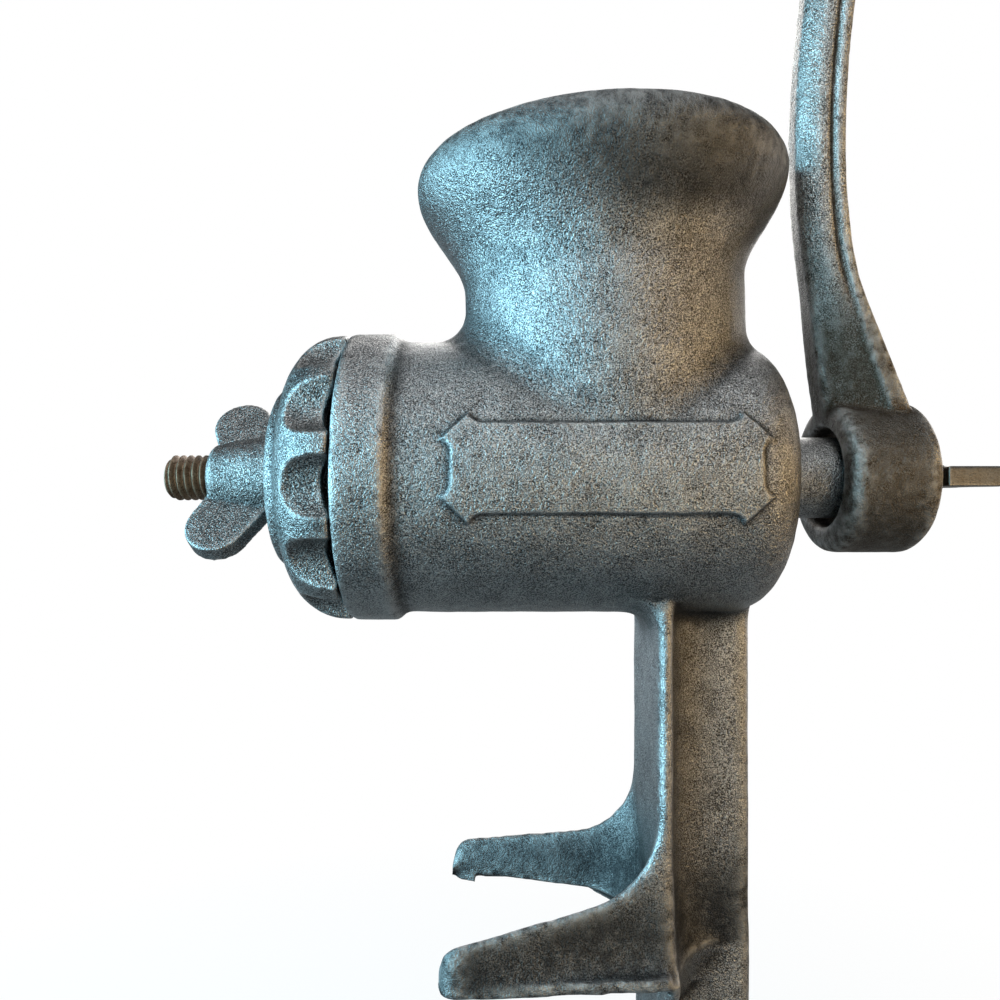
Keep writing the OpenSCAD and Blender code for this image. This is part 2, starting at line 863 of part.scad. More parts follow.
// Crank's arm, bowed round the hopper's lip and leaning out to the eye
module arm() {
    steps = 20;
    root_run = 2.4;
    spread_run = 2;
    near = 0.01;
    section = concat(arm_half, flipped(arm_half));
    start = [(boss_front + boss_back) / 2, 6];
    rise = [bow_x + arm_kick, arm_rise_share * hopper_height];
    bow = [bow_x - arm_tuck, arm_bow_share * hopper_height];
    finish = [bow_x + arm_lean, arm_finish_share * hopper_height];
    lean = (finish - bow) / norm(finish - bow);
    eye = [eye_x, crank_radius];
    function ring(point, along, half, wide) =
        [
            for (place = section)
                [point.x + half * place.x * along.y, wide * place.y, point.y - half * place.x * along.x]
        ];
    function slope(t) =
        let (
            before = cubic(start, rise, bow, finish, t - near),
            after = cubic(start, rise, bow, finish, t + near)
        )
        (after - before) / norm(after - before);
    skin(concat(
        [
            for (i = [0 : steps])
                let (t = i / steps)
                ring(
                    cubic(start, rise, bow, finish, t), slope(t),
                    arm_thickness / 2 + arm_root * max(0, 1 - t * root_run),
                    arm_width / 2 + arm_spread * max(0, 1 - t * spread_run)
                )
        ],
        [ring(eye, lean, arm_thickness / 2, arm_width / 2)]
    ));
}

module crank_arm() {
    boss = concat(
        [[0, boss_front]],
        arc([boss_r - boss_round, boss_front + boss_round], boss_round, -90, 0, 4),
        arc([boss_r - boss_round, boss_back - boss_round], boss_round, 0, 90, 4),
        [[0, boss_back]]
    );
    seat = journal_end + running_fit;
    color(tinned_iron)
    difference() {
        union() {
            at_axis() along_x() rotate_extrude() polygon(boss);
            at_axis() arm();
            at_grip() round_bar(eye_r, eye_front, eye_back);
        }
        at_axis() {
            along_x(boss_front - 0.1)
                cylinder(r1 = recess_r, r2 = recess_floor_r, h = seat - boss_front + 0.1);
            square_bar(tail_square + 2 * square_fit, seat - 1, boss_back + 1);
        }
        at_grip() round_bar(spindle_r + running_fit, eye_front - 1, eye_back + 1);
    }
}

module crank_screw() {
    head = boss_back + running_fit;
    color(bright_steel)
    at_axis() {
        round_bar(crank_screw_r, journal_end - 3, head + 1);
        round_bar(crank_head_r, head, head + crank_head_thickness);
        translate([head + crank_head_thickness - 1, -crank_wing.y / 2, -crank_wing.z / 2])
            cube([crank_wing.x - crank_wing_round, crank_wing.y, crank_wing.z]);
        for (side = [-1, 1])
            translate([
                head + crank_wing.x - crank_wing_round - 1,
                side * (crank_wing.y / 2 - crank_wing_round),
                -crank_wing.z / 2
            ])
                cylinder(r = crank_wing_round, h = crank_wing.z);
    }
}

module grip_spindle() {
    color(bright_steel)
    at_grip() {
        round_bar(spindle_r, eye_front - 1, spindle_end + 1);
        along_x(eye_front - running_fit - spindle_head)
            cylinder(r1 = spindle_head_r - 1, r2 = spindle_head_r, h = spindle_head);
        along_x(spindle_end)
            cylinder(r1 = spindle_head_r, r2 = spindle_head_r - 1, h = spindle_head);
    }
}

module grip_washer_inner() {
    color(bright_steel)
    at_grip() ring_on_x(grip_washer_r, spindle_r + running_fit, eye_back + running_fit, grip_washer);
}

module grip_washer_outer() {
    color(bright_steel)
    at_grip() ring_on_x(grip_washer_r, spindle_r + running_fit, grip_end + face_gap, grip_washer);
}

module wooden_grip() {
    body = [
        for (i = [0 : grip_steps])
            let (t = i / grip_steps)
            [
                grip_waist_r + grip_swell * sin(180 * pow(t, grip_skew)),
                mix(grip_start + grip_round, grip_end - grip_round, t)
            ]
    ];
    profile = concat(
        [[0, grip_start], [grip_waist_r - grip_round, grip_start]],
        [[grip_waist_r - grip_break, grip_start + grip_break]],
        body,
        [[grip_waist_r - grip_break, grip_end - grip_break]],
        [[grip_waist_r - grip_round, grip_end], [0, grip_end]]
    );
    color(turned_wood)
    at_grip() difference() {
        along_x() rotate_extrude() polygon(profile);
        round_bar(spindle_r + running_fit, grip_start - 1, grip_end + 1);
    }
}

module clamp_pad() {
    cap_bottom = -table_gap - pad_thickness;
    socket_r = ball_r + socket_wall;
    profile = [
        [0, socket_bottom],
        [socket_r - edge_break, socket_bottom],
        [socket_r, socket_bottom + edge_break],
        [socket_r, cap_bottom],
        [pad_r - edge_break, cap_bottom],
        [pad_r, cap_bottom + edge_break],
        [pad_r, -table_gap - edge_break],
        [pad_r - edge_break, -table_gap],
        [0, -table_gap]
    ];
    color(tinned_iron)
    difference() {
        rotate_extrude() polygon(profile);
        translate([0, 0, ball_z]) sphere(r = ball_r + ball_play);
    }
}

module clamp_screw() {
    color(bright_steel) {
        translate([0, 0, ball_z]) sphere(r = ball_r);
        translate([0, 0, thread_top - 1]) cylinder(r = neck_top_r, h = ball_z - thread_top + 1);
        translate([0, 0, thread_top - thread_point])
            cylinder(r1 = clamp_screw_r, r2 = clamp_screw_r - thread_point, h = thread_point);
        translate([0, 0, thread_bottom]) cylinder(r = clamp_screw_r, h = clamp_screw_length - thread_point);
    }
}

module clamp_wing() {
    bottom = thread_bottom - clamp_hub_floor;
    lobe_x = clamp_wing_span / 2 - clamp_lobe_r;
    color(tinned_iron)
    difference() {
        union() {
            translate([0, 0, bottom])
                cylinder(r1 = clamp_hub_foot_r, r2 = clamp_screw_r + clamp_hub_wall, h = clamp_hub_length);
            for (side = [-1, 1])
                rotate([90, 0, 0])
                    linear_extrude(height = clamp_wing_thickness, center = true)
                        hull() {
                            translate([side * lobe_x, bottom - clamp_lobe_drop])
                                circle(r = clamp_lobe_r, $fn = 32);
                            translate([0, bottom + clamp_wing_thickness])
                                circle(r = clamp_wing_thickness, $fn = 32);
                        }
        }
        translate([0, 0, thread_bottom - running_fit])
            cylinder(r = clamp_screw_r + running_fit, h = clamp_screw_length);
    }
}

body_casting();
thrust_washer();
feed_screw();
front_stud();
cutter();
wing_nut();
crank_arm();
crank_screw();
grip_spindle();
grip_washer_inner();
wooden_grip();
grip_washer_outer();
clamp_pad();
clamp_screw();
clamp_wing();
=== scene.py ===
import math

import bmesh
import bpy
import numpy as np
from mathutils import Matrix, Vector, kdtree


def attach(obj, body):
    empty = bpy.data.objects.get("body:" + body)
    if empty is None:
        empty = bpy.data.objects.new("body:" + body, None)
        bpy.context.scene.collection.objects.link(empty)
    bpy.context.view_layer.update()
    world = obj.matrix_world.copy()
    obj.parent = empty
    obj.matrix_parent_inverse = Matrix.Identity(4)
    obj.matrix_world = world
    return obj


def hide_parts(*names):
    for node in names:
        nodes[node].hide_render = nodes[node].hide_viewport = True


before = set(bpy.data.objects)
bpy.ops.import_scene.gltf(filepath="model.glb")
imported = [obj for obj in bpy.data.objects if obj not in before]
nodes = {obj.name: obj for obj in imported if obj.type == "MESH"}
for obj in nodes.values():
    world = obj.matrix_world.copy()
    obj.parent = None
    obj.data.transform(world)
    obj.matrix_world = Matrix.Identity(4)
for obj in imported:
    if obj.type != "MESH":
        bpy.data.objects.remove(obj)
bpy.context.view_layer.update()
mm = 0.001
axisHeight = 95 * mm  # the barrel's axis above the table
tiny = 1e-6  # least radius to divide by
onAxis = 1e-7  # a smaller radius is a point on the axis


# mesh tools

def newObject(name, data):
    obj = bpy.data.objects.new(name, data)
    bpy.context.scene.collection.objects.link(obj)
    return obj


def applyModifiers(obj):
    graph = bpy.context.evaluated_depsgraph_get()
    mesh = bpy.data.meshes.new_from_object(obj.evaluated_get(graph), depsgraph=graph)
    obj.modifiers.clear()
    old = obj.data
    obj.data = mesh
    bpy.data.meshes.remove(old)
    mesh.name = obj.name


def readPoints(mesh):
    co = np.empty(len(mesh.vertices) * 3, np.float32)
    mesh.vertices.foreach_get("co", co)
    return co.reshape(-1, 3).astype(float)


def writePoints(mesh, co):
    mesh.vertices.foreach_set("co", co.astype(np.float32).ravel())
    mesh.update()


def readNormals(mesh):
    out = np.empty(len(mesh.vertices) * 3, np.float32)
    mesh.vertex_normals.foreach_get("vector", out)
    return out.reshape(-1, 3).astype(float)


def readEdges(mesh):
    out = np.empty(len(mesh.edges) * 2, np.int32)
    mesh.edges.foreach_get("vertices", out)
    return out.reshape(-1, 2)


def relax(co, edges, rounds, share=0.5):
    count = np.bincount(edges.ravel(), minlength=len(co)).clip(1)
    for _ in range(rounds):
        mean = np.empty_like(co)
        for k in range(3):
            mean[:, k] = (np.bincount(edges[:, 0], co[edges[:, 1], k], len(co))
                          + np.bincount(edges[:, 1], co[edges[:, 0], k], len(co)))
        co = co + share * (mean / count[:, None] - co)
    return co


def smoothStep(low, high, x):
    t = np.clip((x - low) / (high - low), 0, 1)
    return t * t * (3 - 2 * t)


latticeHash = {
    "axes": (374761393, 668265263, 2246822519), "seedStep": 977,
    "rounds": ((13, 1274126177), (11, 2654435761)), "lastShift": 16,
}
sandSeeds = {"wave": 3, "ripple": 8, "hopper": 21, "crank": 5}


def sandNoise(co, size, seed):
    # value noise on a lattice, from -1 to 1
    p = co / size
    cell = np.floor(p).astype(np.int64)
    f = p - cell
    f = f * f * (3 - 2 * f)
    mask = np.uint64(0xffffffff)
    total = np.zeros(len(co))
    for corner in range(8):
        d = np.array([corner & 1, corner >> 1 & 1, corner >> 2 & 1])
        c = (cell + d).astype(np.uint64)
        h = np.full(len(co), seed * latticeHash["seedStep"], np.uint64)
        for k, factor in enumerate(latticeHash["axes"]):
            h = h + c[:, k] * np.uint64(factor)
        h = h & mask
        for shift, factor in latticeHash["rounds"]:
            h = ((h ^ (h >> np.uint64(shift))) * np.uint64(factor)) & mask
        value = (h ^ (h >> np.uint64(latticeHash["lastShift"]))) / 2.0 ** 32
        total += value * np.prod(np.where(d, f, 1 - f), axis=1)
    return 2 * total - 1


def mergedCopy(name, node):
    # a CAD mesh is loose triangles, so its copy is merged first
    bm = bmesh.new()
    bm.from_mesh(nodes[node].data)
    bmesh.ops.remove_doubles(bm, verts=bm.verts, dist=2 * tiny)
    mesh = bpy.data.meshes.new(name)
    bm.to_mesh(mesh)
    bm.free()
    return newObject(name, mesh)


def nodeBox(node):
    co = readPoints(nodes[node].data)
    return co.min(axis=0), co.max(axis=0)


def storeFloat(mesh, name, values):
    layer = mesh.attributes.get(name) or mesh.attributes.new(name, "FLOAT", "POINT")
    layer.data.foreach_set("value", values.astype(np.float32))


def paint(obj, material):
    obj.data.materials.clear()
    obj.data.materials.append(material)


edgeMarks = {
    "fine": (10, 0.12 * mm), "wide": (60, 0.5 * mm),  # rounds of relaxing, depth of a full mark
    "wearAndHighlight": (0.6, 0.6), "darkening": (0.4, 0.8),  # shares of the fine and the wide marks
}


def hollowness(co, edges, normal, rounds, depth):
    # positive where the form is hollow, negative on its edges
    return np.einsum("ij,ij->i", relax(co, edges, rounds) - co, normal) / depth


def castPiece(name, node, body, setup):
    # soft-edged casting from the CAD form: remeshed, relaxed, shaped, waved, marked and thinned
    obj = mergedCopy(name, node)
    grid = obj.modifiers.new("grid", "REMESH")
    grid.mode = "VOXEL"
    grid.voxel_size = setup["grid"]
    applyModifiers(obj)
    mesh = obj.data
    co = relax(readPoints(mesh), readEdges(mesh), setup["relax"])
    writePoints(mesh, co)
    if "shape" in setup:
        setup["shape"](mesh, setup)
        co = readPoints(mesh)
    wave = setup["wave"] * sandNoise(co, setup["waveSize"], sandSeeds["wave"])
    wave = wave + setup["ripple"] * sandNoise(co, setup["rippleSize"], sandSeeds["ripple"])
    co = co + readNormals(mesh) * wave[:, None]
    writePoints(mesh, co)
    edges, normal = readEdges(mesh), readNormals(mesh)
    fine = hollowness(co, edges, normal, *edgeMarks["fine"])
    wide = hollowness(co, edges, normal, *edgeMarks["wide"])
    fineWearAndHighlight, wideWearAndHighlight = edgeMarks["wearAndHighlight"]
    fineDarkening, wideDarkening = edgeMarks["darkening"]
    # worn edges, lightened further as a painted highlight
    wearAndHighlight = np.clip(-fineWearAndHighlight * fine - wideWearAndHighlight * wide, 0, 1)
    # darker in the hollows
    darkening = np.clip(fineDarkening * fine + wideDarkening * wide, 0, 1)
    # on the main casting this adds painted shade under the hopper's lip and darker feet; on the crank
    # it adds a brown stain
    if "stain" in setup:
        darkening = np.maximum(darkening, setup["stain"](co, setup))
    tree = kdtree.KDTree(len(co))
    for i, p in enumerate(co):
        tree.insert(p, i)
    tree.balance()
    triangles = sum(len(p.vertices) - 2 for p in mesh.polygons)
    if triangles > setup["triangles"]:
        thin = obj.modifiers.new("thin", "DECIMATE")
        thin.ratio = setup["triangles"] / triangles
        applyModifiers(obj)
        mesh = obj.data
    near = np.array([tree.find(p)[1] for p in readPoints(mesh)])
    storeFloat(mesh, "wearAndHighlight", wearAndHighlight[near])
    storeFloat(mesh, "darkening", darkening[near])
    mesh.shade_smooth()
    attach(obj, body)
    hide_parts(node)
    print(name, "cast,", triangles, "triangles before thinning,", len(mesh.polygons), "faces after")
    return obj


# shader tools

def addNode(tree, kind, **values):
    node = tree.nodes.new(kind)
    for key, value in values.items():
        setattr(node, key, value)
    return node


def feed(tree, socket, value):
    if isinstance(value, bpy.types.NodeSocket):
        tree.links.new(value, socket)
    else:
        socket.default_value = value


def mathNode(tree, operation, a, b=None, clamp=False):
    node = addNode(tree, "ShaderNodeMath", operation=operation, use_clamp=clamp)
    feed(tree, node.inputs[0], a)
    if b is not None:
        feed(tree, node.inputs[1], b)
    return node.outputs[0]


def rangeNode(tree, value, low, high, to=(0, 1)):
    node = addNode(tree, "ShaderNodeMapRange")
    tree.links.new(value, node.inputs["Value"])
    ends = ("From Min", "From Max", "To Min", "To Max")
    for key, number in zip(ends, (low, high) + tuple(to)):
        node.inputs[key].default_value = number
    return node.outputs["Result"]


def mixColour(tree, factor, a, b):
    node = addNode(tree, "ShaderNodeMix", data_type="RGBA")
    feed(tree, node.inputs[0], factor)
    for index, value in ((6, a), (7, b)):  # the node's colour sockets
        feed(tree, node.inputs[index], (*value, 1) if isinstance(value, tuple) else value)
    return node.outputs[2]


def noiseNode(tree, vector, scale, detail, roughness):
    node = addNode(tree, "ShaderNodeTexNoise")
    tree.links.new(vector, node.inputs["Vector"])
    feed(tree, node.inputs["Scale"], scale)
    node.inputs["Detail"].default_value = detail
    node.inputs["Roughness"].default_value = roughness
    return node.outputs["Fac"]


def shaderGroup(name, inputs, outputs):
    tree = bpy.data.node_groups.new(name, "ShaderNodeTree")
    for key, kind, value in inputs:
        socket = tree.interface.new_socket(key, in_out="INPUT", socket_type=kind)
        if value is not None:
            socket.default_value = value
    for key in outputs:
        tree.interface.new_socket(key, in_out="OUTPUT", socket_type="NodeSocketFloat")
    return tree, tree.nodes.new("NodeGroupInput"), tree.nodes.new("NodeGroupOutput")


def placeGroup(tree, group, values):
    node = addNode(tree, "ShaderNodeGroup", node_tree=group)
    for key, value in values.items():
        feed(tree, node.inputs[key], value)
    return node


# each noise is its detail and roughness, each mask the range of noise that it spans
sandForm = {
    "grain": (1.0, 0.6), "coarse": (2.0, 0.5), "coarseScale": 0.31, "heights": (0.75, 0.85),
    "patch": (3.0, 0.6), "patchScale": 3.0, "patchMiddle": 0.5, "patchShift": 0.22,
    "pits": (0.47, 0.37), "glints": (0.52, 0.64), "slow": (5.0, 0.6), "blotches": (0.36, 0.66),
}


def sandGrainGroup(setup):
    # grain of a sand mould: height for bump, dark pits, bright grains that are partly painted glints,
    # and slow blotches
    tree, start, end = shaderGroup(
        "sandGrain",
        [("Vector", "NodeSocketVector", None), ("Grain Scale", "NodeSocketFloat", 2000.0),
         ("Blotch Scale", "NodeSocketFloat", 55.0)],
        ["Height", "Pits", "Glints", "Blotches"])
    vector = start.outputs["Vector"]
    scale, blotch = start.outputs["Grain Scale"], start.outputs["Blotch Scale"]
    grain = noiseNode(tree, vector, scale, *setup["grain"])
    coarseScale = mathNode(tree, "MULTIPLY", scale, setup["coarseScale"])
    coarse = noiseNode(tree, vector, coarseScale, *setup["coarse"])
    grainHeight, coarseHeight = setup["heights"]
    height = mathNode(tree, "ADD", mathNode(tree, "MULTIPLY", grain, grainHeight),
                      mathNode(tree, "MULTIPLY", coarse, coarseHeight))
    patchScale = mathNode(tree, "MULTIPLY", blotch, setup["patchScale"])
    patchy = noiseNode(tree, vector, patchScale, *setup["patch"])
    shift = mathNode(tree, "MULTIPLY", mathNode(tree, "SUBTRACT", patchy, setup["patchMiddle"]),
                     setup["patchShift"])
    mottled = mathNode(tree, "SUBTRACT", grain, shift)
    slow = noiseNode(tree, vector, blotch, *setup["slow"])
    tree.links.new(height, end.inputs["Height"])
    tree.links.new(rangeNode(tree, mottled, *setup["pits"]), end.inputs["Pits"])
    tree.links.new(rangeNode(tree, mottled, *setup["glints"]), end.inputs["Glints"])
    tree.links.new(rangeNode(tree, slow, *setup["blotches"]), end.inputs["Blotches"])
    return tree


edgeForm = {
    "noise": (420.0, 3.0, 0.6), "bright": (0.35, 0.6), "darkeningAndShade": (0.2, 0.7), "darkeningAndShadeShare": (0.8, 1.25),
}


def wearHighlightAndShadeGroup(setup):
    # turns the stored edge and hollow values into broken-up masks: worn edges with a painted highlight,
    # and darkening, part of it painted shade
    tree, start, end = shaderGroup(
        "wearHighlightAndShade",
        [("Vector", "NodeSocketVector", None), ("Wear And Highlight", "NodeSocketFloat", 0.0),
         ("Darkening And Shade", "NodeSocketFloat", 0.0)],
        ["Bright Edge", "Patchy Darkening And Shade"])
    rough = noiseNode(tree, start.outputs["Vector"], *setup["noise"])
    broken = rangeNode(tree, rough, *setup["bright"])
    patchy = rangeNode(tree, rough, *setup["darkeningAndShade"], setup["darkeningAndShadeShare"])
    bright = mathNode(tree, "MULTIPLY", start.outputs["Wear And Highlight"], broken)
    darkeningAndShade = mathNode(tree, "MULTIPLY", start.outputs["Darkening And Shade"], patchy, True)
    tree.links.new(bright, end.inputs["Bright Edge"])
    tree.links.new(darkeningAndShade, end.inputs["Patchy Darkening And Shade"])
    return tree


sandGrain = sandGrainGroup(sandForm)
wearHighlightAndShade = wearHighlightAndShadeGroup(edgeForm)


def newMaterial(name, slotColour):
    material = bpy.data.materials.new(name)
    material.use_nodes = True
    material.diffuse_color = (*slotColour, 1)
    tree = material.node_tree
    shader = tree.nodes["Principled BSDF"]
    vector = addNode(tree, "ShaderNodeTexCoord").outputs["Object"]
    return material, tree, shader, vector


def attribute(tree, name):
    return addNode(tree, "ShaderNodeAttribute", attribute_name=name).outputs["Fac"]


def addBump(tree, shader, height, look):
    bump = addNode(tree, "ShaderNodeBump")
    bump.inputs["Strength"].default_value = look["bump"]
    bump.inputs["Distance"].default_value = look["bumpDepth"]
    tree.links.new(height, bump.inputs["Height"])
    tree.links.new(bump.outputs["Normal"], shader.inputs["Normal"])


def placeGrain(tree, vector, look):
    values = {"Vector": vector, "Grain Scale": look["grain"], "Blotch Scale": look["blotch"]}
    return placeGroup(tree, sandGrain, values).outputs


def tinnedIron(name, look):
    # tinned casting: dull blotches, then pits, bright grains that are partly painted glints, darkening
    # that is partly painted shade, and worn edges with a painted highlight over them
    material, tree, shader, vector = newMaterial(name, look["tin"])
    grain = placeGrain(tree, vector, look)
    marks = {"Vector": vector, "Wear And Highlight": attribute(tree, "wearAndHighlight"), "Darkening And Shade": attribute(tree, "darkening")}
    worn = placeGroup(tree, wearHighlightAndShade, marks).outputs
    colour = mixColour(tree, grain["Blotches"], look["tinDark"], look["tin"])
    # the edge colour lightens worn edges and bright grains as a painted highlight
    layers = ((grain["Pits"], "pitShare", "iron"), (grain["Glints"], "glintShare", "edge"),
              (worn["Patchy Darkening And Shade"], "darkeningAndShadeShare", "darkeningAndShade"), (worn["Bright Edge"], "edgeShare", "edge"))
    for mask, share, over in layers:
        colour = mixColour(tree, mathNode(tree, "MULTIPLY", mask, look[share]), colour, look[over])
    tree.links.new(colour, shader.inputs["Base Color"])
    rough = mathNode(tree, "ADD", rangeNode(tree, grain["Blotches"], 0, 1, look["roughness"]),
                     mathNode(tree, "MULTIPLY", worn["Patchy Darkening And Shade"], look["darkeningAndShadeRoughness"]))
    tree.links.new(rough, shader.inputs["Roughness"])
    shader.inputs["Metallic"].default_value = look["metallic"]
    addBump(tree, shader, grain["Height"], look)
    return material


def turnedSteel(name, look):
    # drawn or turned steel with brown stains and pits
    material, tree, shader, vector = newMaterial(name, look["steel"])
    grain = placeGrain(tree, vector, look)
    colour = mixColour(tree, grain["Blotches"], look["stain"], look["steel"])
    pits = mathNode(tree, "MULTIPLY", grain["Pits"], look["pitShare"])
    tree.links.new(mixColour(tree, pits, colour, look["rust"]), shader.inputs["Base Color"])
    rough = rangeNode(tree, grain["Blotches"], 0, 1, look["roughness"])
    tree.links.new(rough, shader.inputs["Roughness"])
    shader.inputs["Metallic"].default_value = look["metallic"]
    addBump(tree, shader, grain["Height"], look)
    return material


def turnedWood(name, look):
    # long grain along X with pores, darker where hands have held it
    material, tree, shader, vector = newMaterial(name, look["light"])
    place = addNode(tree, "ShaderNodeMapping")
    place.inputs["Location"].default_value = look["centre"]
    place.inputs["Scale"].default_value = look["stretch"]
    tree.links.new(vector, place.inputs["Vector"])
    rings = addNode(tree, "ShaderNodeTexWave", wave_type="RINGS", rings_direction="X")
    tree.links.new(place.outputs["Vector"], rings.inputs["Vector"])
    for key, value in zip(("Scale", "Distortion", "Detail"), look["rings"]):
        rings.inputs[key].default_value = value
    pores = noiseNode(tree, place.outputs["Vector"], *look["pores"])
    handled = noiseNode(tree, vector, *look["handled"])
    poreMask = rangeNode(tree, pores, *look["poreRange"], look["poreShare"])
    wornMask = rangeNode(tree, handled, *look["wornRange"], look["wornShare"])
    colour = mixColour(tree, rings.outputs["Fac"], look["dark"], look["light"])
    colour = mixColour(tree, poreMask, colour, look["pore"])
    colour = mixColour(tree, wornMask, colour, look["worn"])
    tree.links.new(colour, shader.inputs["Base Color"])
    rough = rangeNode(tree, handled, *look["roughRange"], look["roughness"])
    tree.links.new(rough, shader.inputs["Roughness"])
    addBump(tree, shader, pores, look)
    return material


# the darkening colour darkens hollows and stains, and lays the painted shade under the hopper's lip
castLook = {
    "tin": (0.27, 0.272, 0.277), "tinDark": (0.18, 0.18, 0.184), "iron": (0.02, 0.0195, 0.019),
    "darkeningAndShade": (0.021, 0.0215, 0.023), "edge": (0.56, 0.56, 0.555), "grain": 3900.0, "blotch": 55.0,
    "pitShare": 0.92, "glintShare": 0.85, "darkeningAndShadeShare": 0.9, "edgeShare": 0.55,
    "roughness": (0.39, 0.3), "darkeningAndShadeRoughness": 0.2, "metallic": 1.0, "bumpDepth": 0.00025, "bump": 1.0,
}
crankLook = dict(
    castLook, tin=(0.3, 0.298, 0.295), tinDark=(0.18, 0.175, 0.168), darkeningAndShade=(0.046, 0.033, 0.021),
    edge=(0.7, 0.7, 0.69), roughness=(0.38, 0.29), pitShare=0.97)
cutterLook = dict(castLook, tin=(0.175, 0.176, 0.178), tinDark=(0.118, 0.118, 0.119))
castMetal = tinnedIron("tinnedCastIron", castLook)
crankMetal = tinnedIron("wornCrankIron", crankLook)
cutterMetal = tinnedIron("wornCutterIron", cutterLook)
brightSteel = turnedSteel("brightSteel", {
    "steel": (0.36, 0.355, 0.345), "stain": (0.23, 0.21, 0.185), "rust": (0.1, 0.06, 0.035),
    "grain": 2600.0, "blotch": 120.0, "pitShare": 0.35, "roughness": (0.38, 0.27), "metallic": 1.0,
    "bumpDepth": 0.00006, "bump": 0.5})
rustedSteel = turnedSteel("rustedSteel", {
    "steel": (0.3, 0.22, 0.155), "stain": (0.14, 0.088, 0.055), "rust": (0.08, 0.04, 0.022),
    "grain": 2600.0, "blotch": 260.0, "pitShare": 0.7, "roughness": (0.6, 0.42), "metallic": 0.75,
    "bumpDepth": 0.00012, "bump": 0.5})
gripWood = turnedWood("turnedBeech", {
    "light": (0.46, 0.25, 0.115), "dark": (0.33, 0.16, 0.065), "pore": (0.14, 0.06, 0.024),
    "worn": (0.2, 0.095, 0.04), "centre": (0.0, 0.006, -0.238), "stretch": (0.12, 1.0, 1.0),
    "rings": (95.0, 5.0, 3.0),  # scale, distortion, detail
    "pores": (900.0, 3.0, 0.7), "handled": (45.0, 4.0, 0.6),  # scale, detail, roughness
    "poreRange": (0.55, 0.75), "poreShare": (0, 0.6), "wornRange": (0.4, 0.7), "wornShare": (0, 0.55),
    "roughRange": (0.3, 0.7), "roughness": (0.32, 0.5), "bumpDepth": 0.0002, "bump": 0.35})
print("materials ready")


# the main casting, with its raised plaque on the barrel

def lipShadeAndDarkFeet(co, setup):
    # painted shade: a dark band under the hopper's lip, deepest towards the front, standing in for the
    # dark surroundings that the downward flare reflects; the feet are made darker towards the bottom
    z = co[:, 2] - axisHeight
    noise = sandNoise(co, setup["stainAndShadePatch"], sandSeeds["hopper"])
    across, out = co[:, 0] - setup["hopperX"], co[:, 1] / setup["hopperOval"]
    r = np.hypot(across, out)
    turn = math.radians(setup["stainTurn"])
    facing = (across * math.sin(turn) - out * math.cos(turn)) / r.clip(tiny)
    front = np.clip(facing, 0, 1) ** 2
    low = setup["stainTop"] - setup["stainDrop"] * front + setup["stainAndShadeRagged"] * noise
    lipShadeShare, lipNoise = setup["lipShadeShare"]
    lip = smoothStep(*setup["stainInner"], r) * smoothStep(0, setup["stainFade"], z - low)
    lip = lip * (lipShadeShare + lipNoise * noise)
    feetShare, feetNoise = setup["feetShare"]
    feet = smoothStep(*setup["feetSpan"], co[:, 2]) * (co[:, 2] > setup["feetLow"])
    feet = feet * (feetShare + feetNoise * noise)
    return np.clip(np.maximum(lip, feet), 0, 1)


def plaqueOutline(setup):
    # ticket-shaped outline: straight sides, coved corners and pointed ears, as X and arc length
    ear, tip = Vector(setup["plaqueEar"]), Vector(setup["plaqueTip"])
    side, top, cove = setup["plaqueSide"], setup["plaqueTop"], setup["plaqueCove"]
    steps, pull = setup["plaqueSteps"], cove / setup["plaquePull"]
    curves = (((side, tip.y - cove), (side, tip.y - pull), tip),
              (ear, (ear.x - pull, top), (ear.x - cove, top)))
    quarter = []
    for a, b, c in curves:
        for i in range(steps + 1):
            t = i / steps
            first, middle, last = (1 - t) ** 2, 2 * t * (1 - t), t * t
            quarter.append(tuple(first * a[k] + middle * b[k] + last * c[k] for k in range(2)))
    half = quarter + [(-x, y) for x, y in reversed(quarter)]
    return np.array(half + [(x, -y) for x, y in reversed(half)]) + np.array(setup["plaqueCentre"])


def signedDistance(p, outline):
    # distance of points to a closed outline, negative inside
    best = np.full(len(p), np.inf)
    inside = np.zeros(len(p), bool)
    for (ax, ay), (bx, by) in zip(outline, np.roll(outline, -1, axis=0)):
        dx, dy = bx - ax, by - ay
        px, py = p[:, 0] - ax, p[:, 1] - ay
        t = np.clip((px * dx + py * dy) / (dx ** 2 + dy ** 2), 0, 1)
        best = np.minimum(best, np.hypot(px - t * dx, py - t * dy))
        if ay != by:
            crosses = (ay > p[:, 1]) != (by > p[:, 1])
            inside ^= crosses & (p[:, 0] < dx * py / dy + ax)
    return np.where(inside, -best, best)


def plaqueGap(co, outline, setup):
    # distance to the plaque's outline on the barrel's front, and a metre elsewhere
    dz = co[:, 2] - axisHeight
    offBarrel = abs(np.hypot(co[:, 1], dz) - setup["barrelR"])
    onFront = (co[:, 1] < setup["plaqueFront"]) & (offBarrel < setup["plaqueSkin"])
    arcLength = setup["barrelR"] * np.arcsin(np.clip(dz / setup["barrelR"], -1, 1))
    gap = signedDistance(np.column_stack([co[:, 0], arcLength]), outline)
    return np.where(onFront, gap, 1.0)


def softLeg(co, edges, setup):
    # broad, soft blends on the leg and feet, as a wooden pattern leaves them
    z = co[:, 2]
    share = smoothStep(*setup["softLow"], z) * smoothStep(*setup["softHigh"], z)
    share *= np.where(z > setup["softBarrel"], smoothStep(*setup["softClear"], co[:, 0]), 1)
    return co + share[:, None] * (relax(co, edges, setup["softRounds"]) - co)


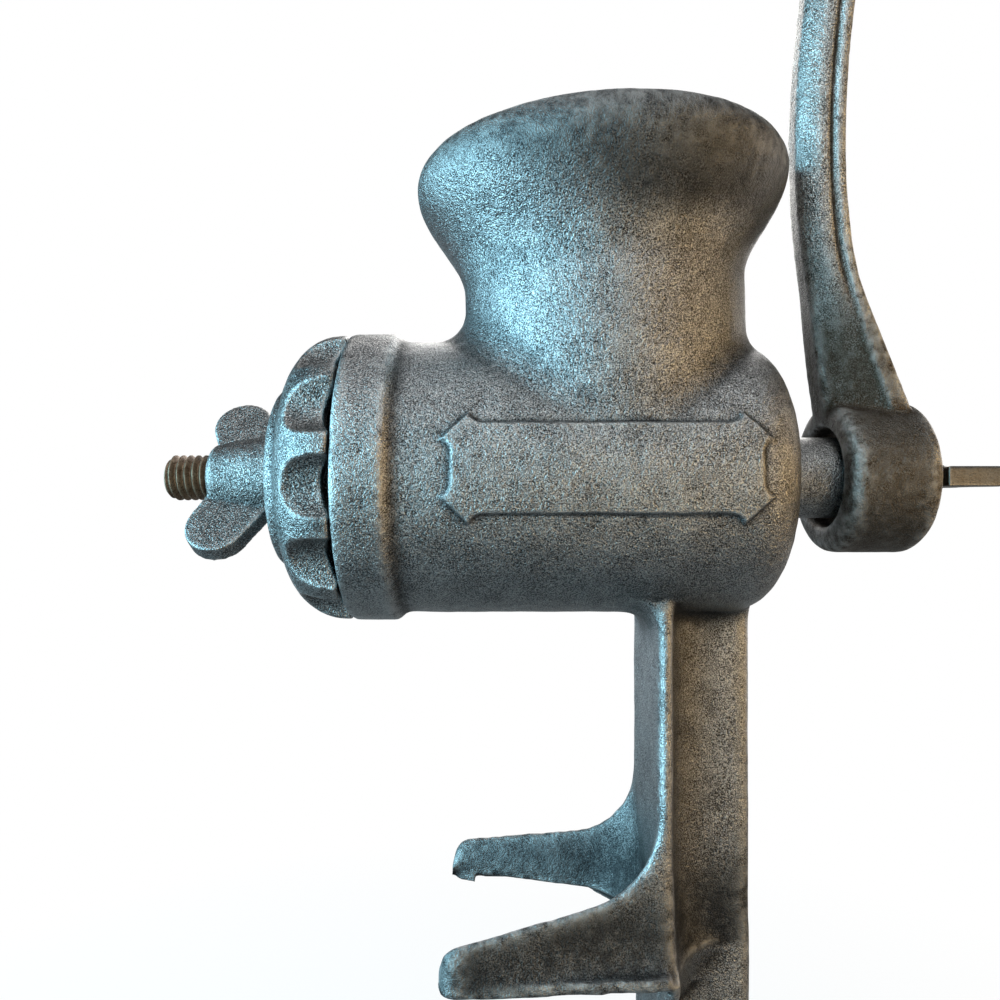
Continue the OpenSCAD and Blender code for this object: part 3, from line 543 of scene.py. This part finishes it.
def shapeCasting(mesh, setup):
    outline = plaqueOutline(setup)
    # finer mesh along the plaque's edge
    bm = bmesh.new()
    bm.from_mesh(mesh)
    gap = abs(plaqueGap(np.array([v.co for v in bm.verts]), outline, setup))
    close = [e for e in bm.edges if max(gap[v.index] for v in e.verts) < setup["plaqueFine"]]
    bmesh.ops.subdivide_edges(bm, edges=close, cuts=1, use_grid_fill=True)
    bm.to_mesh(mesh)
    bm.free()
    co = softLeg(readPoints(mesh), readEdges(mesh), setup)
    dz = co[:, 2] - axisHeight
    r = np.hypot(co[:, 1], dz).clip(tiny)
    edge = setup["plaqueEdge"]
    rise = setup["plaqueRise"] * (1 - smoothStep(-edge, edge / 2, plaqueGap(co, outline, setup)))
    co[:, 1] += rise * co[:, 1] / r
    co[:, 2] += rise * dz / r
    # keep the rear bore clear of the journal
    low, high = setup["rearWall"]
    r = np.hypot(co[:, 1], co[:, 2] - axisHeight).clip(tiny)
    bore = (co[:, 0] > low) & (co[:, 0] < high) & (r < setup["journalR"] + setup["boreReach"])
    push = np.where(bore, np.maximum(setup["journalR"] / r, 1), 1)
    co[:, 1] *= push
    co[:, 2] = axisHeight + (co[:, 2] - axisHeight) * push
    writePoints(mesh, co)


bodyCasting = {
    "shape": shapeCasting, "stain": lipShadeAndDarkFeet,
    "grid": 0.55 * mm, "relax": 4, "triangles": 195000,
    "wave": 0.10 * mm, "waveSize": 7 * mm, "ripple": 0.05 * mm, "rippleSize": 1.8 * mm,
    "plaqueCentre": (14.7 * mm, 1.0 * mm), "plaqueRise": 0.75 * mm, "plaqueEdge": 0.55 * mm,
    "plaqueEar": (24.2 * mm, 10.2 * mm), "plaqueTip": (29.4 * mm, 5.0 * mm),
    "plaqueSide": 27.5 * mm, "plaqueTop": 8.2 * mm, "plaqueCove": 2.6 * mm,
    "plaquePull": 4, "plaqueSteps": 5,
    "plaqueFront": -10 * mm, "plaqueSkin": 1.2 * mm, "plaqueFine": 1.6 * mm,
    "barrelR": 28 * mm, "journalR": 8.7 * mm, "boreReach": 0.5 * mm, "rearWall": (42.5 * mm, 53.5 * mm),
    "hopperX": 17.5 * mm, "hopperOval": 0.915,
    "stainTop": 56 * mm, "stainDrop": 18 * mm, "stainTurn": 20, "stainInner": (26 * mm, 34 * mm),
    "stainFade": 12 * mm, "stainAndShadeRagged": 4 * mm, "stainAndShadePatch": 11 * mm, "lipShadeShare": (0.9, 0.1),
    "feetSpan": (26 * mm, 8 * mm), "feetLow": -1 * mm, "feetShare": (0.88, 0.12),
    "softRounds": 30, "softLow": (1 * mm, 4 * mm), "softHigh": (73 * mm, 66 * mm),
    "softBarrel": 55 * mm, "softClear": (8 * mm, 14 * mm),
}
casting = castPiece("bodyCasting", "body_casting", "frame", bodyCasting)
paint(casting, castMetal)


# the other castings, and the crank's thumb screw

def crankStain(co, setup):
    # brown and dull from the boss up to the bow of the arm
    ragged = setup["stainAndShadeRagged"] * sandNoise(co, setup["stainAndShadePatch"], sandSeeds["crank"])
    z = co[:, 2] - axisHeight + ragged
    return np.clip(setup["stainShare"] * smoothStep(*setup["stainSpan"], z), 0, 1)


def shapeCrank(mesh, setup):
    # crowned sides on the arm, and a groove along its outer rim
    co = readPoints(mesh)
    z = co[:, 2] - axisHeight
    last = int(setup["eye"][0] / setup["slice"])
    slices = np.clip((z / setup["slice"]).astype(int), 0, last)
    inSlice = [co[slices == i, 0] for i in range(slices.max() + 1)]
    level = setup["slice"] * (np.arange(len(inSlice)) + 0.5)
    low = np.interp(z, level, [x.min() for x in inSlice])
    high = np.interp(z, level, [x.max() for x in inSlice])
    share = (2 * co[:, 0] - low - high) / (high - low)  # -1 to 1 across the arm
    start, end = setup["crownSpan"]
    t = np.clip((share - start) / (end - start), 0, 1)
    lift = 4 * t * (1 - t) * setup["crown"]
    lift -= setup["groove"] * np.exp(-((share - setup["grooveAt"]) / setup["grooveWidth"]) ** 2)
    onArm = smoothStep(*setup["root"], z) * smoothStep(*setup["eye"], z)
    sides = smoothStep(*setup["sides"], abs(co[:, 1]))
    co[:, 1] += np.sign(co[:, 1]) * lift * onArm * sides
    writePoints(mesh, co)


otherCastings = {
    "cutterCup": ("cutter", "cutter_cup", cutterMetal, {
        "grid": 0.35 * mm, "relax": 3, "triangles": 150000, "wave": 0.06 * mm, "waveSize": 4 * mm,
        "ripple": 0.03 * mm, "rippleSize": 1.4 * mm}),
    "wingNut": ("wing_nut", "nut", cutterMetal, {
        "grid": 0.3 * mm, "relax": 5, "triangles": 70000, "wave": 0.08 * mm, "waveSize": 4 * mm,
        "ripple": 0.03 * mm, "rippleSize": 1.2 * mm}),
    "crankArm": ("crank_arm", "crank", crankMetal, {
        "shape": shapeCrank, "stain": crankStain,
        "grid": 0.45 * mm, "relax": 5, "triangles": 120000, "wave": 0.08 * mm, "waveSize": 7 * mm,
        "ripple": 0.04 * mm, "rippleSize": 1.6 * mm,
        "root": (26 * mm, 46 * mm), "eye": (134 * mm, 122 * mm), "slice": 2 * mm,
        "sides": (1.5 * mm, 3 * mm), "crown": 1.0 * mm, "crownSpan": (-0.95, 0.3),
        "groove": 0.55 * mm, "grooveAt": 0.36, "grooveWidth": 0.11,
        "stainSpan": (54 * mm, 26 * mm), "stainShare": 0.92, "stainAndShadeRagged": 5 * mm,
        "stainAndShadePatch": 13 * mm}),
    "feedScrew": ("feed_screw", "feed", castMetal, {
        "grid": 0.6 * mm, "relax": 5, "triangles": 90000, "wave": 0.05 * mm, "waveSize": 7 * mm,
        "ripple": 0.02 * mm, "rippleSize": 1.6 * mm}),
    "clampPad": ("clamp_pad", "pad", castMetal, {
        "grid": 0.4 * mm, "relax": 4, "triangles": 40000, "wave": 0.05 * mm, "waveSize": 5 * mm,
        "ripple": 0.03 * mm, "rippleSize": 1.4 * mm}),
    "clampWing": ("clamp_wing", "clamp", castMetal, {
        "grid": 0.5 * mm, "relax": 8, "triangles": 60000, "wave": 0.08 * mm, "waveSize": 5 * mm,
        "ripple": 0.04 * mm, "rippleSize": 1.4 * mm}),
    "crankScrew": ("crank_screw", "crank_fastener", brightSteel, {
        "grid": 0.3 * mm, "relax": 6, "triangles": 50000, "wave": 0.0, "waveSize": 4 * mm,
        "ripple": 0.0, "rippleSize": 1.2 * mm}),
}
for name, (node, body, material, setup) in otherCastings.items():
    piece = castPiece(name, node, body, setup)
    paint(piece, material)


# threads, made by one node tree with named sizes

ridgeFlank = (0.12, 0.86)  # flat root below, flat crest above


def threadNodes():
    tree = bpy.data.node_groups.new("threadedRod", "GeometryNodeTree")
    sizes = [("Length", 0.06), ("Crest Radius", 0.005), ("Depth", 0.001), ("Pitch", 0.0016),
             ("End Bevel", 0.0012)]
    steps = [("Steps Along", 400), ("Steps Around", 48)]
    for kind, values in (("NodeSocketFloat", sizes), ("NodeSocketInt", steps)):
        for key, value in values:
            tree.interface.new_socket(key, in_out="INPUT", socket_type=kind).default_value = value
    tree.interface.new_socket("Material", in_out="INPUT", socket_type="NodeSocketMaterial")
    tree.interface.new_socket("Geometry", in_out="OUTPUT", socket_type="NodeSocketGeometry")
    start, end = tree.nodes.new("NodeGroupInput"), tree.nodes.new("NodeGroupOutput")
    length, crest = start.outputs["Length"], start.outputs["Crest Radius"]
    depth = start.outputs["Depth"]
    grid = addNode(tree, "GeometryNodeMeshGrid")
    grid.inputs["Size X"].default_value = 1.0
    grid.inputs["Size Y"].default_value = 1.0
    tree.links.new(start.outputs["Steps Along"], grid.inputs["Vertices X"])
    tree.links.new(start.outputs["Steps Around"], grid.inputs["Vertices Y"])
    split = addNode(tree, "ShaderNodeSeparateXYZ")
    tree.links.new(addNode(tree, "GeometryNodeInputPosition").outputs[0], split.inputs[0])
    u = mathNode(tree, "ADD", split.outputs["X"], 0.5, True)
    v = mathNode(tree, "ADD", split.outputs["Y"], 0.5, True)
    along = mathNode(tree, "MULTIPLY", u, length)
    turns = mathNode(tree, "DIVIDE", along, start.outputs["Pitch"])
    phase = mathNode(tree, "PINGPONG", mathNode(tree, "SUBTRACT", turns, v), 0.5)
    ridge = rangeNode(tree, mathNode(tree, "MULTIPLY", phase, 2.0), *ridgeFlank)
    root = mathNode(tree, "SUBTRACT", crest, depth)
    radius = mathNode(tree, "ADD", root, mathNode(tree, "MULTIPLY", ridge, depth))
    # bevel towards both ends, and close them with a point on the axis
    toEnd = mathNode(tree, "MINIMUM", along, mathNode(tree, "SUBTRACT", length, along))
    bevel = mathNode(tree, "SUBTRACT", crest, start.outputs["End Bevel"])
    radius = mathNode(tree, "MINIMUM", radius, mathNode(tree, "ADD", bevel, toEnd))
    radius = mathNode(tree, "MULTIPLY", radius, mathNode(tree, "GREATER_THAN", toEnd, onAxis))
    angle = mathNode(tree, "MULTIPLY", v, 2 * math.pi)
    place = addNode(tree, "ShaderNodeCombineXYZ")
    tree.links.new(along, place.inputs["X"])
    for key, operation in (("Y", "COSINE"), ("Z", "SINE")):
        part = mathNode(tree, "MULTIPLY", radius, mathNode(tree, operation, angle))
        tree.links.new(part, place.inputs[key])
    move = addNode(tree, "GeometryNodeSetPosition")
    tree.links.new(grid.outputs["Mesh"], move.inputs["Geometry"])
    tree.links.new(place.outputs[0], move.inputs["Position"])
    merge = addNode(tree, "GeometryNodeMergeByDistance")
    merge.inputs["Distance"].default_value = tiny
    tree.links.new(move.outputs[0], merge.inputs["Geometry"])
    real = addNode(tree, "GeometryNodeRealizeInstances")
    tree.links.new(merge.outputs[0], real.inputs["Geometry"])
    finish = addNode(tree, "GeometryNodeSetMaterial")
    tree.links.new(real.outputs[0], finish.inputs["Geometry"])
    tree.links.new(start.outputs["Material"], finish.inputs["Material"])
    tree.links.new(finish.outputs[0], end.inputs["Geometry"])
    return tree


threadTree = threadNodes()


def threadedRod(name, setup, material):
    obj = newObject(name, bpy.data.meshes.new(name))
    rod = obj.modifiers.new("thread", "NODES")
    rod.node_group = threadTree
    sockets = threadTree.interface.items_tree
    keys = {item.name: item.identifier for item in sockets if item.in_out == "INPUT"}
    for key, value in setup["sizes"].items():
        rod[keys[key]] = value
    rod[keys["Material"]] = material
    applyModifiers(obj)
    obj.data.transform(setup["place"])
    bm = bmesh.new()
    bm.from_mesh(obj.data)
    bmesh.ops.recalc_face_normals(bm, faces=bm.faces)
    bm.to_mesh(obj.data)
    bm.free()
    obj.data.shade_smooth()
    return obj


def latheRings(profile, sides, place):
    # turned form about X from (x, r) pairs
    bm = bmesh.new()
    turns = [2 * math.pi * i / sides for i in range(sides)]
    rings = []
    for x, r in profile:
        if r < onAxis:
            rings.append([bm.verts.new((x, 0, 0))])
        else:
            rings.append([bm.verts.new((x, r * math.cos(a), r * math.sin(a))) for a in turns])
    for a, b in zip(rings, rings[1:]):
        for i in range(sides):
            j = (i + 1) % sides
            loop = [a[i % len(a)], a[j % len(a)], b[j % len(b)], b[i % len(b)]]
            bm.faces.new(list(dict.fromkeys(loop)))
    bmesh.ops.recalc_face_normals(bm, faces=bm.faces)
    bmesh.ops.transform(bm, matrix=place, verts=bm.verts)
    mesh = bpy.data.meshes.new("turned")
    bm.to_mesh(mesh)
    bm.free()
    mesh.shade_smooth()
    return mesh


frontStud = {
    "sizes": {"Length": 59.1 * mm, "Crest Radius": 4.76 * mm, "Depth": 0.95 * mm,
              "Pitch": 25.4 / 16 * mm, "End Bevel": 1.1 * mm, "Steps Along": 451, "Steps Around": 49},
    "place": Matrix.Translation((-73.4 * mm, 0, axisHeight)),
}
stud = threadedRod("frontStud", frontStud, rustedSteel)
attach(stud, "feed")
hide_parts("front_stud")

upright = Matrix.Rotation(-math.pi / 2, 4, "Y")  # turns X up to Z
clampScrew = {
    "sizes": {"Length": 76 * mm, "Crest Radius": 6.34 * mm, "Depth": 1.15 * mm,
              "Pitch": 25.4 / 13 * mm, "End Bevel": 1.6 * mm, "Steps Along": 471, "Steps Around": 49},
    "place": Matrix.Translation((0, 0, -118.6 * mm)) @ upright,
    "neckR": 3.2 * mm, "ballR": 4.55 * mm, "ballZ": -37.4 * mm, "neckZ": -44.5 * mm,
    "ballSteps": 15, "ballSides": 40,
}


def neckProfile(setup):
    # plain neck above the thread, with the ball that the pad holds
    ballR, neckR = setup["ballR"], setup["neckR"]
    start = math.asin(neckR / ballR)
    ball = [(setup["ballZ"] - ballR * math.cos(a), ballR * math.sin(a))
            for a in np.linspace(start, math.pi, setup["ballSteps"])]
    ball[-1] = (ball[-1][0], 0)
    return [(setup["neckZ"], 0), (setup["neckZ"], neckR)] + ball


screw = threadedRod("clampScrew", clampScrew, brightSteel)
bm = bmesh.new()
bm.from_mesh(screw.data)
bm.from_mesh(latheRings(neckProfile(clampScrew), clampScrew["ballSides"], upright))
bm.to_mesh(screw.data)
bm.free()
screw.data.shade_smooth()
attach(screw, "clamp")
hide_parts("clamp_screw")
print("threads cut")


# the wooden grip, turned with shallow lathe lines and a groove near each end

woodenGrip = {
    "height": 245 * mm, "bore": 4.05 * mm, "waist": 9.5 * mm, "belly": 13.5 * mm, "bellyShift": 1.45,
    "endRound": 2.5 * mm, "steps": 110, "sides": 72, "lineDepth": 0.04 * mm, "lineSize": 1.1 * mm,
    "grooveAt": 6.5 * mm, "grooveDepth": 0.45 * mm, "grooveWidth": 0.6 * mm,
}


def gripProfile(setup):
    low, high = (corner[0] for corner in nodeBox("wooden_grip"))
    length, endRound = high - low, setup["endRound"]
    outer = []
    for i in range(setup["steps"] + 1):
        x = low + length * i / setup["steps"]
        t = min(max((x - low - endRound) / (length - 2 * endRound), 0), 1)
        swell = math.sin(math.pi * t ** setup["bellyShift"])
        r = setup["waist"] + (setup["belly"] - setup["waist"]) * swell
        toEnd = min(x - low, high - x)
        if toEnd < endRound:
            r -= endRound - math.sqrt(endRound ** 2 - (endRound - toEnd) ** 2)
        r -= setup["lineDepth"] * (0.5 + 0.5 * math.sin(2 * math.pi * x / setup["lineSize"]))
        for place in (low + setup["grooveAt"], high - setup["grooveAt"]):
            r -= setup["grooveDepth"] * math.exp(-((x - place) / setup["grooveWidth"]) ** 2)
        outer.append((x, r))
    return [(low, setup["bore"])] + outer + [(high, setup["bore"]), (low, setup["bore"])]


gripPlace = Matrix.Translation((0, 0, woodenGrip["height"]))
grip = newObject("woodenGrip", latheRings(gripProfile(woodenGrip), woodenGrip["sides"], gripPlace))
paint(grip, gripWood)
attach(grip, "grip")
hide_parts("wooden_grip")
print("grip turned")


# small steel parts keep their CAD form

for node in ("thrust_washer", "grip_spindle", "grip_washer_inner", "grip_washer_outer"):
    paint(nodes[node], brightSteel)


# camera, floor, light

camera = {"place": (-0.004, -0.1594, 0.09032), "lens": 27.18, "sensor": 36.0, "near": 0.01}
lens = bpy.data.cameras.new("camera")
lens.lens = camera["lens"]
lens.sensor_width = camera["sensor"]
lens.clip_start = camera["near"]
viewer = newObject("camera", lens)
viewer.location = camera["place"]
viewer.rotation_euler = (math.pi / 2, 0, 0)  # level, looking along Y
bpy.context.scene.camera = viewer

studio = {
    "floorZ": -0.1462, "floorSize": 12.0, "floorRoughness": 0.9,
    "floorColour": (0.8, 0.805, 0.815), "floorBounce": (0.14, 0.142, 0.146),
    "floorWhite": (0.6, 1.0), "floorFade": (0.1, 0.4),  # shares of white, and where they hold
    "skyLow": (0.012, 0.014, 0.018), "skyHigh": (0.07, 0.072, 0.075), "skyEdge": (-0.3, 0.9),
    "mirrorShare": 0.09, "aim": (0.01, 0.0, 0.09),
    # azimuth from the front (left is minus), elevation, distance, width and height, power, colour
    "lamps": {
        "window": (-74, 8, 0.8, (0.8, 0.6), 13.5, (0.38, 0.8, 1.0)),
        "lowWindow": (-62, -14, 0.5, (0.25, 0.16), 0.35, (0.55, 0.9, 1.0)),
        "sideFill": (-34, 10, 0.75, (0.22, 0.5), 1.0, (0.3, 0.8, 1.0)),
        "frontFill": (0, 4, 0.75, (0.4, 0.3), 0.3, (1.0, 0.98, 0.94)),
        "frontSoftbox": (0, 45, 0.75, (0.35, 0.4), 1.4, (0.96, 1.0, 0.98)),
        "overhead": (0, 80, 0.75, (0.5, 0.5), 1.2, (1.0, 1.0, 1.0)),
        "warmLamp": (68, 4, 0.75, (0.2, 0.34), 1.7, (1.0, 0.66, 0.28)),
        "warmFill": (26, -12, 0.5, (0.16, 0.14), 0.4, (1.0, 0.75, 0.42)),
        "backFill": (-160, -6, 0.75, (0.3, 0.3), 0.35, (0.75, 0.9, 1.0)),
        "backSoftbox": (170, 32, 0.9, (0.6, 0.6), 4.5, (1.0, 0.98, 0.95)),
        "backSide": (122, 8, 0.9, (0.4, 0.5), 2.2, (1.0, 0.95, 0.88)),
    },
}


def whiteForCamera(tree, dull, white, mirrorShare, fade=None):
    # camera and see-through rays meet plain white, mirror rays a share of it
    rays = addNode(tree, "ShaderNodeLightPath").outputs
    share = mathNode(tree, "MAXIMUM", rays["Is Camera Ray"], rays["Is Transmission Ray"])
    mirror = mathNode(tree, "MULTIPLY", rays["Is Glossy Ray"], mirrorShare)
    share = mathNode(tree, "MAXIMUM", share, mirror)
    if fade is not None:
        share = mathNode(tree, "MULTIPLY", share, fade)
    mix = addNode(tree, "ShaderNodeMixShader")
    for socket, value in zip(mix.inputs, (share, dull, white)):
        tree.links.new(value, socket)
    return mix.outputs[0]


def layFloor(setup):
    # the camera sees a pale floor that fades to white, other rays a darker one
    size, z = setup["floorSize"] / 2, setup["floorZ"]
    corners = [(-size, -size, z), (size, -size, z), (size, size, z), (-size, size, z)]
    mesh = bpy.data.meshes.new("floor")
    mesh.from_pydata(corners, [], [(0, 1, 2, 3)])
    floor = newObject("floor", mesh)
    material, tree, shader, vector = newMaterial("paleFloor", setup["floorColour"])
    shader.inputs["Roughness"].default_value = setup["floorRoughness"]
    seen = addNode(tree, "ShaderNodeLightPath").outputs["Is Camera Ray"]
    colour = mixColour(tree, seen, setup["floorBounce"], setup["floorColour"])
    tree.links.new(colour, shader.inputs["Base Color"])
    reach = addNode(tree, "ShaderNodeVectorMath", operation="LENGTH")
    tree.links.new(vector, reach.inputs[0])
    fade = rangeNode(tree, reach.outputs["Value"], *setup["floorFade"], setup["floorWhite"])
    glow = addNode(tree, "ShaderNodeEmission")
    shown = whiteForCamera(tree, shader.outputs[0], glow.outputs[0], setup["mirrorShare"], fade)
    tree.links.new(shown, tree.nodes["Material Output"].inputs["Surface"])
    mesh.materials.append(material)


def makeSky(setup):
    world = bpy.data.worlds.new("studio")
    bpy.context.scene.world = world
    world.use_nodes = True
    tree = world.node_tree
    split = addNode(tree, "ShaderNodeSeparateXYZ")
    tree.links.new(addNode(tree, "ShaderNodeTexCoord").outputs["Generated"], split.inputs[0])
    ambient = tree.nodes["Background"]
    upward = rangeNode(tree, split.outputs["Z"], *setup["skyEdge"])
    sky = mixColour(tree, upward, setup["skyLow"], setup["skyHigh"])
    tree.links.new(sky, ambient.inputs["Color"])
    white = addNode(tree, "ShaderNodeBackground")
    white.inputs["Color"].default_value = (1, 1, 1, 1)
    shown = whiteForCamera(tree, ambient.outputs[0], white.outputs[0], setup["mirrorShare"])
    tree.links.new(shown, tree.nodes["World Output"].inputs["Surface"])


def hangLamps(setup):
    aim = Vector(setup["aim"])
    for name, lampSetup in setup["lamps"].items():
        azimuth, elevation, distance, (width, height), power, colour = lampSetup
        data = bpy.data.lights.new(name, "AREA")
        data.shape = "RECTANGLE"
        data.size, data.size_y = width, height
        data.energy = power
        data.color = colour
        lamp = newObject(name, data)
        across, up = math.radians(azimuth), math.radians(elevation)
        level = math.cos(up)
        away = Vector((math.sin(across) * level, -math.cos(across) * level, math.sin(up)))
        lamp.location = aim + distance * away
        lamp.visible_camera = False
        lamp.rotation_euler = away.to_track_quat("Z", "Y").to_euler()


layFloor(studio)
makeSky(studio)
hangLamps(studio)
bpy.context.scene.view_settings.view_transform = "Standard"
print("studio lit")
